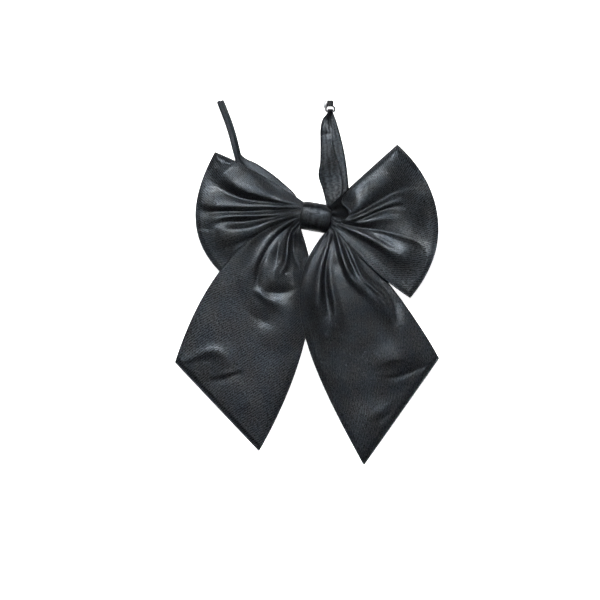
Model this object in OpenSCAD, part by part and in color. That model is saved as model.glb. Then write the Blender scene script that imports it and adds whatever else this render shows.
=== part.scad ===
// Pre-tied satin neck bow: two gathered wings, two long pointed tails, a wrapped
// knot, and an adjustable neck strap with a hook on one side and an eye on the other.
// The bow lies on its back. The origin is the middle of the knot's flat back,
// +X is to the right, +Y is up towards the collar and +Z is out of the front.
// The unworn long strap is folded away flat behind the wings and tails.

/* [Knot] */
// Width of the knot band, across the bow
knot_w = 19; // [17:0.5:21]
// Height of the knot band, along the collar direction
knot_h = 18; // [16:0.5:19]
// Thickness of the knot band from its flat back to its front
knot_t = 17.5; // [17.2:0.1:19]
// Thickness of the knot band's cloth
band_t = 0.8; // [0.5:0.1:1]
// Tilt of the knot, clockwise as seen from the front
knot_tilt = 10; // [0:1:12]

/* [Wings and tails] */
// Reach of a wing from the knot's centre
wing_reach = 74; // [70:1:77]
// Length of a tail from the knot's centre to its point
tail_length = 150; // [146:1:170]
// Thickness of a satin panel
panel_t = 0.8; // [0.5:0.1:0.9]
// Thickness of the stiffening cloth inside a wing
lining_t = 0.4; // [0.2:0.1:0.5]
// How far the front panel of a wing swells
wing_puff = 1.1; // [0:0.1:1.2]
// How far the front panel of a tail swells
tail_puff = 0.9; // [0:0.1:1]

/* [Neck strap] */
// Width of the neck strap laid flat
strap_w = 12; // [10:0.5:12]
// Thickness of the neck strap
strap_t = 0.7; // [0.5:0.1:0.8]
// Number of straight stretches in each fold of the strap
fold_steps = 8; // [6:1:10]

/* [Clasp] */
// Radius of the wire that the eye is bent from
eye_wire_r = 0.7; // [0.5:0.05:0.75]
// Length of the eye, from its bar to its outer wire
eye_len = 8; // [7:0.5:9]
// Radius of the hook's bar
hook_bar_r = 0.55; // [0.4:0.05:0.6]
// Height of the slide adjuster
slide_t = 3.9; // [3.8:0.1:4.2]

/* [Hidden] */

// colours
satin = "#2b2c30";
satin_back = "#232428";
stiffener = "#3d3d40";
thread = "#141416";
nickel = "#a5a7ab";
enamel = "#35363a";

// gap between two layers of the same wing or tail
ply_gap = 0.1;
// radius round the knot's centre at which the wings and tails begin
root_r = 14.5;
// steps along and across each panel
panel_steps = [10, 8];

// undersides of the wings and tails, stacked so that each swings over the next
left_wing_z = 3.6;
left_tail_z = 7.3;
right_tail_z = 10.2;
right_wing_z = 13.2;

// the tails come down to the table between these radii
tail_drop_r = [60, 148];
// how far the free part of the right wing droops, and over which radii and angles
droop = 8;
droop_r = [22, 74];
droop_deg = [-20, 5];

function smooth(u) = let(c = min(max(u, 0), 1)) c * c * (3 - 2 * c);
function bez(p, t) = let(u = 1 - t)
  u * u * u * p[0] + 3 * u * u * t * p[1] + 3 * u * t * t * p[2] + t * t * t * p[3];
function on_root(deg) = root_r * [cos(deg), sin(deg)];
function scaled(points, k) = [for (p = points) k * p];

// Each outline is [side a, side b, outer edge], all as Bezier control points.
// Both sides run out from the gathers, and the outer edge runs from side a to side b.
wing_k = wing_reach / 74;
tail_k = tail_length / 150;
function outline(root_a, a, root_b, b, rim, k) = [
  concat([on_root(root_a)], scaled(a, k)),
  concat([on_root(root_b)], scaled(b, k)),
  concat([k * a[2]], scaled(rim, k), [k * b[2]])
];

left_wing = outline(
  143, [[-27, 22.5], [-42, 31], [-60.6, 38.7]],
  200, [[-24, -16], [-36, -29], [-50, -40]],
  [[-74, 14], [-79, -14]], wing_k);
right_wing = outline(
  36, [[22, 17], [34, 30], [48.8, 43.1]],
  -33, [[21, -19.5], [35, -35], [56.3, -48.9]],
  [[77, 20], [84, -14]], wing_k);
left_tail = outline(
  186, [[-38, -6], [-66, -30], [-84.7, -87.5]],
  238, [[10, -48], [-10, -98], [-34.3, -141]],
  [[-67.9, -105.3], [-51.1, -123.2]], tail_k);
right_tail = outline(
  -77, [[-25, -43], [-8, -82], [28.8, -149.5]],
  -31, [[27, -20], [52, -46], [73.9, -85.1]],
  [[43.8, -128], [58.9, -106.6]], tail_k);

// A point of an outline: s runs outwards and t runs from side a to side b.
function root_point(o, t) = let(
    a = atan2(o[0][0].y, o[0][0].x),
    b0 = atan2(o[1][0].y, o[1][0].x),
    b = b0 - a > 180 ? b0 - 360 : b0 - a < -180 ? b0 + 360 : b0)
  on_root(a + t * (b - a));
function outline_point(o, s, t) =
  (1 - t) * bez(o[0], s) + t * bez(o[1], s)
  + (1 - s) * root_point(o, t) + s * bez(o[2], t)
  - (1 - s) * ((1 - t) * o[0][0] + t * o[1][0])
  - s * ((1 - t) * o[0][3] + t * o[1][3]);

// Height of a wing's or tail's underside above the table
function flat_base(z) = function(p) z;
function tail_base(z) = function(p)
  z * (1 - smooth((norm(p) - tail_drop_r[0]) / (tail_drop_r[1] - tail_drop_r[0])));
function drooping_base(z) = function(p)
  z - droop * smooth((norm(p) - droop_r[0]) / (droop_r[1] - droop_r[0]))
    * smooth((atan2(p.y, p.x) - droop_deg[0]) / (droop_deg[1] - droop_deg[0]));

// Closed solid with four corners at each station, joined ring to ring
function ring_faces(rings, sides) = concat(
  [[for (i = [sides - 1:-1:0]) i]],
  [for (r = [0:rings - 2], i = [0:sides - 1]) let(j = (i + 1) % sides)
    [r * sides + i, r * sides + j, (r + 1) * sides + j, (r + 1) * sides + i]],
  [[for (i = [0:sides - 1]) (rings - 1) * sides + i]]);

// One panel of a wing or tail, from height lo to height hi above its base,
// swelling by puff in the middle
module panel(o, base, lo, hi, puff = 0) {
  ns = panel_steps[0];
  nt = panel_steps[1];
  grid = [for (i = [0:ns], j = [0:nt]) outline_point(o, i / ns, j / nt)];
  count = len(grid);
  swell = [for (i = [0:ns], j = [0:nt]) puff * sin(180 * i / ns) * sin(180 * j / nt)];
  bottom = [for (p = grid) [p.x, p.y, base(p) + lo]];
  top = [for (k = [0:count - 1]) [grid[k].x, grid[k].y, base(grid[k]) + hi + swell[k]]];
  cells = [for (i = [0:ns - 1], j = [0:nt - 1]) let(k = i * (nt + 1) + j)
    [k, k + 1, k + nt + 2, k + nt + 1]];
  rim = concat(
    [for (j = [0:nt - 1]) j],
    [for (i = [0:ns - 1]) i * (nt + 1) + nt],
    [for (j = [nt:-1:1]) ns * (nt + 1) + j],
    [for (i = [ns:-1:1]) i * (nt + 1)]);
  walls = [for (i = [0:len(rim) - 1]) let(a = rim[i], b = rim[(i + 1) % len(rim)])
    [[a, b, b + count], [a, b + count, a + count]]];
  faces = concat(
    [for (c = cells) each [[c[0], c[2], c[1]], [c[0], c[3], c[2]]]],
    [for (c = cells) each [[c[0], c[1], c[2]] + count * [1, 1, 1],
                           [c[0], c[2], c[3]] + count * [1, 1, 1]]],
    [for (w = walls) each [[w[0][0], w[0][1], w[0][2]], [w[1][0], w[1][1], w[1][2]]]]);
  turned = right_handed(o) ? faces : [for (f = faces) [f[2], f[1], f[0]]];
  polyhedron(concat(bottom, top), turned);
}
// True where side b lies clockwise of side a
function right_handed(o) = cross(o[1][3], o[0][3]) < 0;

// Heights of the panels above a wing's or tail's underside
wing_lining_z = panel_t + ply_gap;
wing_front_z = wing_lining_z + lining_t + ply_gap;
tail_front_z = panel_t + ply_gap;

module wing_front(o, base) panel(o, base, wing_front_z, wing_front_z + panel_t, wing_puff);
module wing_stiffener(o, base) panel(o, base, wing_lining_z, wing_lining_z + lining_t);
module tail_front(o, base) panel(o, base, tail_front_z, tail_front_z + panel_t, tail_puff);
module back(o, base) panel(o, base, 0, panel_t);

module left_wing_front() color(satin) wing_front(left_wing, flat_base(left_wing_z));
module left_wing_stiffener() color(stiffener) wing_stiffener(left_wing, flat_base(left_wing_z));
module left_wing_back() color(satin_back) back(left_wing, flat_base(left_wing_z));

module right_wing_front() color(satin) wing_front(right_wing, drooping_base(right_wing_z));
module right_wing_stiffener() color(stiffener) wing_stiffener(right_wing, drooping_base(right_wing_z));
module right_wing_back() color(satin_back) back(right_wing, drooping_base(right_wing_z));

module left_tail_front() color(satin) tail_front(left_tail, tail_base(left_tail_z));
module left_tail_back() color(satin_back) back(left_tail, tail_base(left_tail_z));
module right_tail_front() color(satin) tail_front(right_tail, tail_base(right_tail_z));
module right_tail_back() color(satin_back) back(right_tail, tail_base(right_tail_z));

// ---- Knot ----
// The band is a squarish tube cut flat at the back.
knot_z = knot_t - knot_h / 2;
function round_square(r, deg) = r * [
  sign(cos(deg)) * pow(abs(cos(deg)), 2 / 3),
  sign(sin(deg)) * pow(abs(sin(deg)), 2 / 3)];
function band_profile(inset) = [for (deg = [0:7.5:352.5])
  let(p = round_square(knot_h / 2 - inset, deg)) [p.x, max(p.y + knot_z, inset)]];

seam_y = 3;
seam_w = 1;
seam_depth = 0.4;
module knot_band()
  color(satin) rotate([0, 0, -knot_tilt]) difference() {
    along_x() difference() {
      polygon(band_profile(0));
      polygon(band_profile(band_t));
    }
    translate([-knot_w, seam_y - seam_w / 2, -1]) cube([2 * knot_w, seam_w, 1 + seam_depth]);
  }
// Draws a Y-Z outline as a bar as long as the knot is wide
module along_x()
  translate([-knot_w / 2, 0, 0]) rotate([90, 0, 90]) linear_extrude(knot_w) children();

// small slanted stitches that close the band in its seam at the back
seam_stitch_r = 0.16;
seam_stitch_len = seam_w + 0.4;
seam_stitch_slant = 25;
seam_pitch = 2;
seam_margin = 1.5;
module knot_seam_stitches()
  color(thread) rotate([0, 0, -knot_tilt])
    for (x = [seam_margin - knot_w / 2:seam_pitch:knot_w / 2 - seam_margin])
      translate([x, seam_y, seam_depth / 2]) rotate([90, 0, seam_stitch_slant])
        cylinder(r = seam_stitch_r, h = seam_stitch_len, center = true, $fn = 16);

// The cloth of the wings and tails where it is gathered: narrow in the middle,
// wider where it leaves the band
waist_r = 5.6;
waist_flare = 1.4;
waist_z = 9.2;
waist_half = 12;
waist_steps = 12;
module waist_lathe() {
  side = [for (i = [-waist_steps:waist_steps]) let(x = waist_half * i / waist_steps)
    [waist_radius(x), x]];
  rotate([0, 90, 0]) rotate_extrude($fn = 48)
    polygon(concat([[0, -waist_half]], side, [[0, waist_half]]));
}
function waist_radius(x) = waist_r + waist_flare * smooth(abs(x) / waist_half);
module gathered_waist()
  color(satin) rotate([0, 0, -knot_tilt]) translate([0, 0, waist_z]) waist_lathe();

// turns of thread pulled tight round the gathers, hidden under the band
turns = 5;
turn_pitch = 0.8;
thread_r = 0.3;
thread_sunk = 0.15;
module binding_thread()
  color(thread) rotate([0, 0, -knot_tilt]) translate([0, 0, waist_z])
    for (i = [0:turns - 1]) let(x = (i - (turns - 1) / 2) * turn_pitch)
      translate([x, 0, 0]) rotate([0, 90, 0]) rotate_extrude($fn = 48)
        translate([waist_radius(x) + thread_r - thread_sunk, 0]) circle(r = thread_r, $fn = 16);

// ---- Neck straps ----
// A strap is a list of stations [centre, half width, half thickness], the last two as vectors.
hw = strap_w / 2;
ht = strap_t / 2;
function heading(deg) = [cos(deg), sin(deg), 0];
function left_of(deg, w) = w * [-sin(deg), cos(deg), 0];
// a flat station: up = 1 where the strap's face is up, -1 after a fold has turned it over
function flat(x, y, z, deg, w = hw, t = ht, up = 1) = [[x, y, z], up * left_of(deg, w), [0, 0, up * t]];
// a fold round a line through c: the strap leaves along d and comes back under or over itself
function fold(c, w, d, r, t, down = true) = [for (i = [0:fold_steps])
  let(a = 180 * i / fold_steps, out = sin(a) * d + [0, 0, (down ? 1 : -1) * cos(a)])
  [c + r * out, w, t * out]];
module strap(stations)
  polyhedron(
    [for (s = stations) each [s[0] - s[1] - s[2], s[0] + s[1] - s[2], s[0] + s[1] + s[2], s[0] - s[1] + s[2]]],
    ring_faces(len(stations), 4));

// Long strap: out of the knot along the left wing's top edge, folded lengthwise up to its
// turn, back down under itself, across behind the tails, and through the slide adjuster
// to the eye and back.
rolled_w = 2.2;
rolled_t = 0.75;
up_z = 2.5;
down_z = 0.82;
turn_at = [-57.2, 68.5];
turn_deg = 113;
slide_y = -50;
slide_x = 14;
eye_x = 37;
eye_z = 1.93;
eye_fold_r = 1.25;
over_z = 2.35;
under_z = 1.5;
corner_x = -40;
corner_r = 0.5;
corner_z = 0.45;
strap_end_x = -1.5;

function rolled_up(x, y, deg) = flat(x, y, up_z, deg, rolled_w, rolled_t);
function rolled_down(x, y, deg) = flat(x, y, down_z, deg, rolled_w, rolled_t, -1);
long_strap_out = [
  flat(-5, 2.2, 1.6, 150, 2.2), flat(-11, 5.4, 1.8, 145, 2.4), flat(-22.2, 14.7, 1.9, 142),
  flat(-29.1, 20.5, 2.3, 145), flat(-38.5, 26.8, up_z, 147), flat(-44.3, 32, up_z, 136, 3.8, 0.6),
  rolled_up(-47, 36.6, 112), rolled_up(-47.9, 40, 103), rolled_up(-49.8, 47.7, 106),
  rolled_up(-52.2, 55.5, 109), rolled_up(-54.9, 62.7, 112)];
long_strap_turn = fold([turn_at.x, turn_at.y, (up_z + down_z) / 2],
  left_of(turn_deg, rolled_w), heading(turn_deg), (up_z - down_z) / 2, rolled_t);
long_strap_back = [
  rolled_down(-54.9, 62.7, 112), rolled_down(-52.2, 55.5, 109), rolled_down(-49.8, 47.7, 106),
  rolled_down(-47.9, 40, 103), rolled_down(-46.6, 35, 102), flat(-45.2, 29, 0.65, 102, 4, 0.55, -1),
  flat(-43, 20, corner_z, 101, hw, ht, -1), flat(-40.8, 5, corner_z, 95, hw, ht, -1),
  flat(corner_x, -15, corner_z, 90, hw, ht, -1), flat(corner_x, -40, corner_z, 90, hw, ht, -1)];
// at the corner the strap is folded over on a slant, so it leaves to the right
long_strap_corner = fold([corner_x, slide_y, corner_z + corner_r],
  hw * [-1, 1, 0], heading(225), corner_r, ht, false);
long_strap_across = [
  flat(-31, slide_y, 1.45, 0), flat(-16, slide_y, 1.9, 0), flat(-2, slide_y, over_z, 0),
  flat(32.5, slide_y, over_z, 0), flat(35, slide_y, 2.9, 0)];
long_strap_eye = fold([eye_x, slide_y, eye_z], left_of(0, hw), heading(0), eye_fold_r, ht);
long_strap_end = [
  flat(35, slide_y, 0.9, 0, hw, ht, -1), flat(32.5, slide_y, under_z, 0, hw, ht, -1),
  flat(strap_end_x, slide_y, under_z, 0, hw, ht, -1)];

// after a fold the width vector keeps its side of the cloth
function same_side(stations) = [for (s = stations) [s[0], -s[1], s[2]]];
module long_neck_strap()
  color(satin) strap(concat(long_strap_out, long_strap_turn, same_side(long_strap_back),
    long_strap_corner, long_strap_across, long_strap_eye, same_side(long_strap_end)));

// stitches that hold the long strap to the back of the gathers
strap_stitch_r = 0.2;
anchor_points = [[-6.5, 1.8], [-6.5, 4], [-8.5, 3], [-8.5, 5]];
anchor_z = 1.15;
anchor_len = 2.6;
module strap_anchor_stitches()
  color(thread) for (p = anchor_points)
    translate([p.x, p.y, anchor_z]) cylinder(r = strap_stitch_r, h = anchor_len, $fn = 16);

// stitches across the turned end of the long strap
end_stitch_pitch = 1.5;
end_stitch_reach = 4.5;
end_stitch_len = strap_t + 0.2;
module strap_end_stitches()
  color(thread) for (y = [-end_stitch_reach:end_stitch_pitch:end_stitch_reach])
    translate([strap_end_x + 1, slide_y + y, under_z])
      cylinder(r = strap_stitch_r, h = end_stitch_len, center = true, $fn = 16);

// Short strap: up to the hook's bar and back down behind itself, a little to the right
hook_at = [8.6, 63.4];
hook_z = 1.75;
hook_fold_r = 1;
loop_w = 1.75;
short_strap_up = [
  flat(10.9, 10.6, 1.9, 97, 5.5), flat(9.7, 19.5, 2.2, 98), flat(7.9, 28, 2.3, 95),
  flat(7.8, 33.3, 2.3, 93, 5.8), flat(6.9, 44, 2.4, 93, 4.6), flat(6.6, 52, 2.5, 88, 3.8),
  flat(7.2, 58, 2.6, 80, 2.9), flat(8.4, 61.6, 2.72, 80, loop_w)];
short_strap_turn = fold([hook_at.x, hook_at.y, hook_z],
  left_of(90, loop_w), heading(90), hook_fold_r, ht);
short_strap_down = [
  flat(8.9, 61.6, 0.77, 98, loop_w, ht, -1), flat(9.4, 57, 0.8, 97, 3, ht, -1),
  flat(10.2, 50, 0.8, 97, 4.2, ht, -1), flat(11, 42, 0.8, 97, 5.2, ht, -1),
  flat(12, 32, 0.8, 96, hw, ht, -1), flat(13.4, 18.5, 0.8, 96, hw, ht, -1),
  flat(14.1, 13, 0.8, 97, hw, ht, -1)];
module short_neck_strap()
  color(satin) strap(concat(short_strap_up, short_strap_turn, same_side(short_strap_down)));

// cross row of stitches that closes the short strap's loop
row_start = [7.2, 31.2, 0.35];
row_step = [1.1, 0.35, 0];
row_len = 2.5;
row_count = 6;
module short_strap_stitches()
  color(thread) for (i = [0:row_count - 1])
    translate(row_start + i * row_step) cylinder(r = strap_stitch_r, h = row_len, $fn = 16);

// ---- Clasp ----
// A rod between two points, with round ends
module rod(a, b, r) {
  d = b - a;
  translate(a) rotate([0, acos(d.z / norm(d)), atan2(d.y, d.x)]) cylinder(r = r, h = norm(d), $fn = 24);
  translate(a) sphere(r = r, $fn = 24);
  translate(b) sphere(r = r, $fn = 24);
}

// Eye: one wire bent into a rectangle, whose inner bar turns in the strap's end loop
eye_room = 0.4;
eye_half = strap_w / 2 + eye_wire_r + eye_room;
module clasp_eye() {
  corners = [
    [eye_x, slide_y - eye_half, eye_z], [eye_x, slide_y + eye_half, eye_z],
    [eye_x + eye_len, slide_y + eye_half, eye_z], [eye_x + eye_len, slide_y - eye_half, eye_z]];
  color(nickel) for (i = [0:3]) rod(corners[i], corners[(i + 1) % 4], eye_wire_r);
}

// Slide adjuster: two rails, an outer bar at each end over the strap and a middle bar under it
slide_len = 10.8;
rail_w = 1.3;
rail_gap = 0.5;
bar_w = 1.6;
bar_t = 1;
module slide_adjuster() {
  half = strap_w / 2 + rail_gap;
  color(nickel) translate([slide_x, slide_y, 0]) {
    for (y = [-half - rail_w, half])
      translate([-slide_len / 2, y, 0]) cube([slide_len, rail_w, slide_t]);
    for (x = [-slide_len / 2, slide_len / 2 - bar_w])
      translate([x, -half - rail_w / 2, slide_t - bar_t]) cube([bar_w, 2 * half + rail_w, bar_t]);
    translate([-bar_w / 2, -half - rail_w / 2, 0]) cube([bar_w, 2 * half + rail_w, bar_t]);
  }
}

// Hook: a bar in the short strap's loop, two arms, a plate and a tongue bent back over it
hook_half = 2.6;
shoulder_y = 65.4;
arm_in = [1.3, 1.7];
plate_x = 4.9;
plate_y = 66.2;
plate_w = 5.6;
plate_len = 3.7;
plate_t = 1.5;
tongue_x = 4.6;
tongue_y = 65.2;
tongue_w = 1.9;
tongue_len = 4.3;
tongue_t = 0.9;
joined = 0.1;
module clasp_hook() {
  left = hook_at.x - hook_half;
  right = hook_at.x + hook_half;
  color(enamel) {
    rod([left, hook_at.y, hook_z], [right, hook_at.y, hook_z], hook_bar_r);
    rod([left, hook_at.y, hook_z], [left, shoulder_y, hook_z], hook_bar_r);
    rod([right, hook_at.y, hook_z], [right, shoulder_y, hook_z], hook_bar_r);
    rod([left, shoulder_y, hook_z], [left + arm_in[0], plate_y + hook_bar_r, hook_z], hook_bar_r);
    rod([right, shoulder_y, hook_z], [right - arm_in[1], plate_y + hook_bar_r, hook_z], hook_bar_r);
    translate([plate_x, plate_y, hook_z - plate_t / 2]) cube([plate_w, plate_len, plate_t]);
  }
  color(nickel) translate([tongue_x, tongue_y, hook_z + plate_t / 2 - joined])
    cube([tongue_w, tongue_len, tongue_t]);
}

knot_band();
gathered_waist();
binding_thread();
knot_seam_stitches();
left_wing_front();
left_wing_stiffener();
left_wing_back();
right_wing_front();
right_wing_stiffener();
right_wing_back();
left_tail_front();
left_tail_back();
right_tail_front();
right_tail_back();
long_neck_strap();
strap_anchor_stitches();
strap_end_stitches();
slide_adjuster();
clasp_eye();
short_neck_strap();
short_strap_stitches();
clasp_hook();
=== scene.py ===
"""Looks of a pre-tied satin neck bow: gathered wings, pointed tails, wrapped knot, neck strap with clasp.

Lengths in this script are millimetres until a mesh is made, and metres from then on.
The origin is the middle of the knot's flat back, +Y points to the collar and +Z out of the front.
"""
import math

import bpy
import numpy as np
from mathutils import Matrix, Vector


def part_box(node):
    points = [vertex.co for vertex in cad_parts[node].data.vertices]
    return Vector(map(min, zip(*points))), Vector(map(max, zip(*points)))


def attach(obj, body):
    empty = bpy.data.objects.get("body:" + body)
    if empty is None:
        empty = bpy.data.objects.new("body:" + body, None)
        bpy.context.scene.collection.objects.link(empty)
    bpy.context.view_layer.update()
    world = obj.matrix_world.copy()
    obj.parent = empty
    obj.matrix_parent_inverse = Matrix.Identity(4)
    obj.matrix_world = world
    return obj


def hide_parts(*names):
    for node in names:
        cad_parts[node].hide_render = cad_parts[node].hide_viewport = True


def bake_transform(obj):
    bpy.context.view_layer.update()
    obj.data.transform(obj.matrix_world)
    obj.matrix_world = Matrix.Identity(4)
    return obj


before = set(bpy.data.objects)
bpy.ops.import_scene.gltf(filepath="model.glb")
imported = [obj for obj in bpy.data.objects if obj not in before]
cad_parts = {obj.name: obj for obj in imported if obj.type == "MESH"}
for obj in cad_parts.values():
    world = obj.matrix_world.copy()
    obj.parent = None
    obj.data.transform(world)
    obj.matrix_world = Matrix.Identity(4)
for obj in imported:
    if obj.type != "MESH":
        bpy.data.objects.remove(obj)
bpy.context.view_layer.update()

MM = 0.001
PLY = 0.34  # thickness of one satin panel
FELT_THICK = 0.2
LAYER_Z = {  # underside of each wing and tail above the table
    "left_wing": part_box("left_wing_back")[0][2] / MM,
    "left_tail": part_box("left_tail_back")[1][2] / MM - 0.8,
    "right_tail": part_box("right_tail_back")[1][2] / MM - 0.8,
    "right_wing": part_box("right_wing_back")[1][2] / MM - 0.8,
}


# ---------------------------------------------------------------- curves and fields
def smooth(u):
    """A soft step from 0 at u = 0 to 1 at u = 1."""
    c = np.clip(u, 0.0, 1.0)
    return c * c * (3 - 2 * c)


def bezier(points, t):
    """Points of a cubic curve at places t from 0 to 1."""
    p = np.asarray(points, float)
    t = np.asarray(t, float)[..., None]
    u = 1 - t
    return u**3 * p[0] + 3 * u * u * t * p[1] + 3 * u * t * t * p[2] + t**3 * p[3]


def through(values, u):
    """A smooth curve through the rows of values, at places u from 0 to 1."""
    v = np.asarray(values, float)
    if v.ndim == 1:
        v = v[:, None]
    v = np.vstack([2 * v[0] - v[1], v, 2 * v[-1] - v[-2]])
    spans = len(v) - 3
    x = np.clip(np.asarray(u, float), 0, 1) * spans
    k = np.minimum(x.astype(int), spans - 1)
    f = (x - k)[..., None]
    a, b, c, d = v[k], v[k + 1], v[k + 2], v[k + 3]
    return 0.5 * (2 * b + (c - a) * f + (2 * a - 5 * b + 4 * c - d) * f**2 + (3 * b - a - 3 * c + d) * f**3)


def to_polyline(xy, line):
    """Distance to a polyline, how far along it the nearest place is, and whether a point is on its left."""
    best = np.full(len(xy), 1e9)
    along = np.zeros(len(xy))
    left = np.zeros(len(xy), bool)
    n = len(line) - 1
    for i in range(n):
        d = line[i + 1] - line[i]
        rel = xy - line[i]
        f = np.clip((rel @ d) / max(d @ d, 1e-12), 0, 1)
        dist = np.linalg.norm(rel - f[:, None] * d, axis=1)
        near = dist < best
        best[near] = dist[near]
        along[near] = (i + f[near]) / n
        left[near] = (d[0] * rel[:, 1] - d[1] * rel[:, 0])[near] > 0
    return best, along, left


def fold_height(xy, points, heights, widths, right_widths=None):
    """Height that one fold adds along a curve: a round ridge, or a sharp valley where heights are negative.

    widths are on the left of the curve, seen from its start, and right_widths on the right if they differ.
    """
    ridge = max(heights) > -min(heights)
    power = 2.1 if ridge else 1.15
    u = np.linspace(0, 1, 4 * len(points))
    dist, along, left = to_polyline(xy, through(points, u))
    tall = np.interp(along, np.linspace(0, 1, len(heights)), heights)
    wide = np.interp(along, np.linspace(0, 1, len(widths)), widths)
    if right_widths:
        wide = np.where(left, wide, np.interp(along, np.linspace(0, 1, len(right_widths)), right_widths))
    wide = wide * (1.25 if ridge else 1.1)
    return tall * np.exp(-((dist / wide) ** power))


def ripple(xy, seed, wave, tall):
    """Slow unevenness of cloth: a few crossed sine waves."""
    rng = np.random.default_rng(seed)
    total = np.zeros(len(xy))
    for _ in range(9):
        angle = rng.uniform(0, math.pi)
        phase = rng.uniform(0, 2 * math.pi)
        k = 2 * math.pi / (wave * rng.uniform(0.6, 1.6))
        total += np.sin(k * (xy @ np.array([math.cos(angle), math.sin(angle)])) + phase)
    return tall * total / 3


def relax(field, shape, rounds):
    """Evens out a height field on a grid, as the stiffness of the cloth does."""
    f = field.reshape(shape).copy()
    for _ in range(rounds):
        p = np.pad(f, 1, mode="edge")
        f = 0.5 * f + 0.125 * (p[:-2, 1:-1] + p[2:, 1:-1] + p[1:-1, :-2] + p[1:-1, 2:])
    return f.reshape(-1)


# ---------------------------------------------------------------- meshes
def new_object(name, verts, faces, material, uvs=None):
    """A smooth-shaded mesh from places in millimetres, with one UV place for each vertex."""
    mesh = bpy.data.meshes.new(name)
    places = [tuple(v) for v in np.asarray(verts) * MM]
    mesh.from_pydata(places, [], [tuple(int(i) for i in f) for f in faces])
    mesh.update()
    if uvs is not None:
        layer = mesh.uv_layers.new(name="cloth")
        loops = np.zeros(len(mesh.loops), int)
        mesh.loops.foreach_get("vertex_index", loops)
        layer.data.foreach_set("uv", np.asarray(uvs, float)[loops].reshape(-1))
    mesh.polygons.foreach_set("use_smooth", [True] * len(mesh.polygons))
    mesh.materials.append(material)
    obj = bpy.data.objects.new(name, mesh)
    bpy.context.scene.collection.objects.link(obj)
    return obj


def grid_normals(points, shape):
    """Upward normals of a grid of points."""
    p = points.reshape(shape + (3,))
    du = np.gradient(p, axis=0)
    dv = np.gradient(p, axis=1)
    n = np.cross(du, dv)
    n /= np.maximum(np.linalg.norm(n, axis=2, keepdims=True), 1e-9)
    n[n[..., 2] < 0] *= -1
    return n.reshape(-1, 3)


def cloth_shell(name, points, shape, uvs, material, thick=PLY):
    """A closed sheet of cloth over a grid of points, with a rounded rim."""
    n = grid_normals(points, shape)
    low = points - n * thick
    rows, cols = shape
    count = rows * cols
    ids = np.arange(count).reshape(shape)
    rim = np.concatenate([ids[0, :-1], ids[:-1, -1], ids[-1, :0:-1], ids[:0:-1, 0]])
    middle = (points[rim] + low[rim]) / 2
    inward = points[rim] - np.roll(points[rim], 1, axis=0)
    out = np.cross(inward, n[rim])
    out /= np.maximum(np.linalg.norm(out, axis=1, keepdims=True), 1e-9)
    centre = points.mean(axis=0)
    side = np.sign(((middle - centre) * out).sum(axis=1).sum()) or 1.0
    middle = middle + side * out * thick * 0.45
    verts = np.vstack([points, low, middle])
    a = ids[:-1, :-1].ravel()
    b = ids[1:, :-1].ravel()
    c = ids[1:, 1:].ravel()
    d = ids[:-1, 1:].ravel()
    edge = points[b[0]] - points[a[0]]
    up = np.cross(edge, points[d[0]] - points[a[0]])[2] > 0
    top = np.stack([a, b, c, d] if up else [a, d, c, b], axis=1)
    bottom = top[:, ::-1] + count
    m = 2 * count + np.arange(len(rim))
    rn = np.roll(rim, -1)
    mn = np.roll(m, -1)
    if up:
        upper = np.stack([rn, rim, m, mn], axis=1)
        lower = np.stack([mn, m, rim + count, rn + count], axis=1)
    else:
        upper = np.stack([rim, rn, mn, m], axis=1)
        lower = np.stack([m, mn, rn + count, rim + count], axis=1)
    all_uvs = np.vstack([uvs, uvs, uvs[rim]])
    return new_object(name, verts, np.vstack([top, bottom, upper, lower]), material, all_uvs)


def tube(name, centre, side, normal, material, sections):
    """A solid swept through stations: at each, section points are (side, normal) multiples."""
    rings = []
    for c, s, n, sec in zip(centre, side, normal, sections):
        rings.append(c + sec[:, :1] * s + sec[:, 1:] * n)
    k = len(rings[0])
    verts = np.vstack(rings)
    faces = []
    for r in range(len(rings) - 1):
        for i in range(k):
            j = (i + 1) % k
            faces.append((r * k + i, r * k + j, (r + 1) * k + j, (r + 1) * k + i))
    faces.append(tuple(range(k - 1, -1, -1)))
    faces.append(tuple(range((len(rings) - 1) * k, len(rings) * k)))
    lengths = np.concatenate([[0], np.cumsum(np.linalg.norm(np.diff(np.asarray(centre), axis=0), axis=1))])
    middle = rings[len(rings) // 2]
    around = np.cumsum(np.linalg.norm(np.diff(middle, axis=0, prepend=middle[-1:]), axis=1))
    uvs = [(lengths[r] * MM, around[i] * MM) for r in range(len(rings)) for i in range(k)]
    return new_object(name, verts, faces, material, uvs)


# ---------------------------------------------------------------- materials
def node_material(name):
    """A new material with its nodes, links and main shader."""
    mat = bpy.data.materials.new(name)
    mat.use_nodes = True
    nodes = mat.node_tree.nodes
    links = mat.node_tree.links
    return mat, nodes, links, nodes["Principled BSDF"]


def put(node, **values):
    """Sets a node's inputs, with _ for the space in a name."""
    for name, value in values.items():
        node.inputs[name.replace("_", " ")].default_value = value


def noise(nodes, links, vector, scale, detail):
    tex = nodes.new("ShaderNodeTexNoise")
    put(tex, Scale=scale, Detail=detail)
    links.new(vector, tex.inputs["Vector"])
    return tex.outputs["Fac"]


def ramp(nodes, links, value, first, last):
    """Colour that goes from one (place, colour) stop to the other."""
    r = nodes.new("ShaderNodeValToRGB")
    for element, (place, colour) in zip(r.color_ramp.elements, (first, last)):
        element.position = place
        element.color = colour
    links.new(value, r.inputs["Fac"])
    return r.outputs["Color"]


def scaled(nodes, links, value, low, high, start=0.0, stop=1.0):
    """Maps a value from start..stop to low..high."""
    span = nodes.new("ShaderNodeMapRange")
    put(span, From_Min=start, From_Max=stop, To_Min=low, To_Max=high)
    links.new(value, span.inputs["Value"])
    return span.outputs[0]


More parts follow.
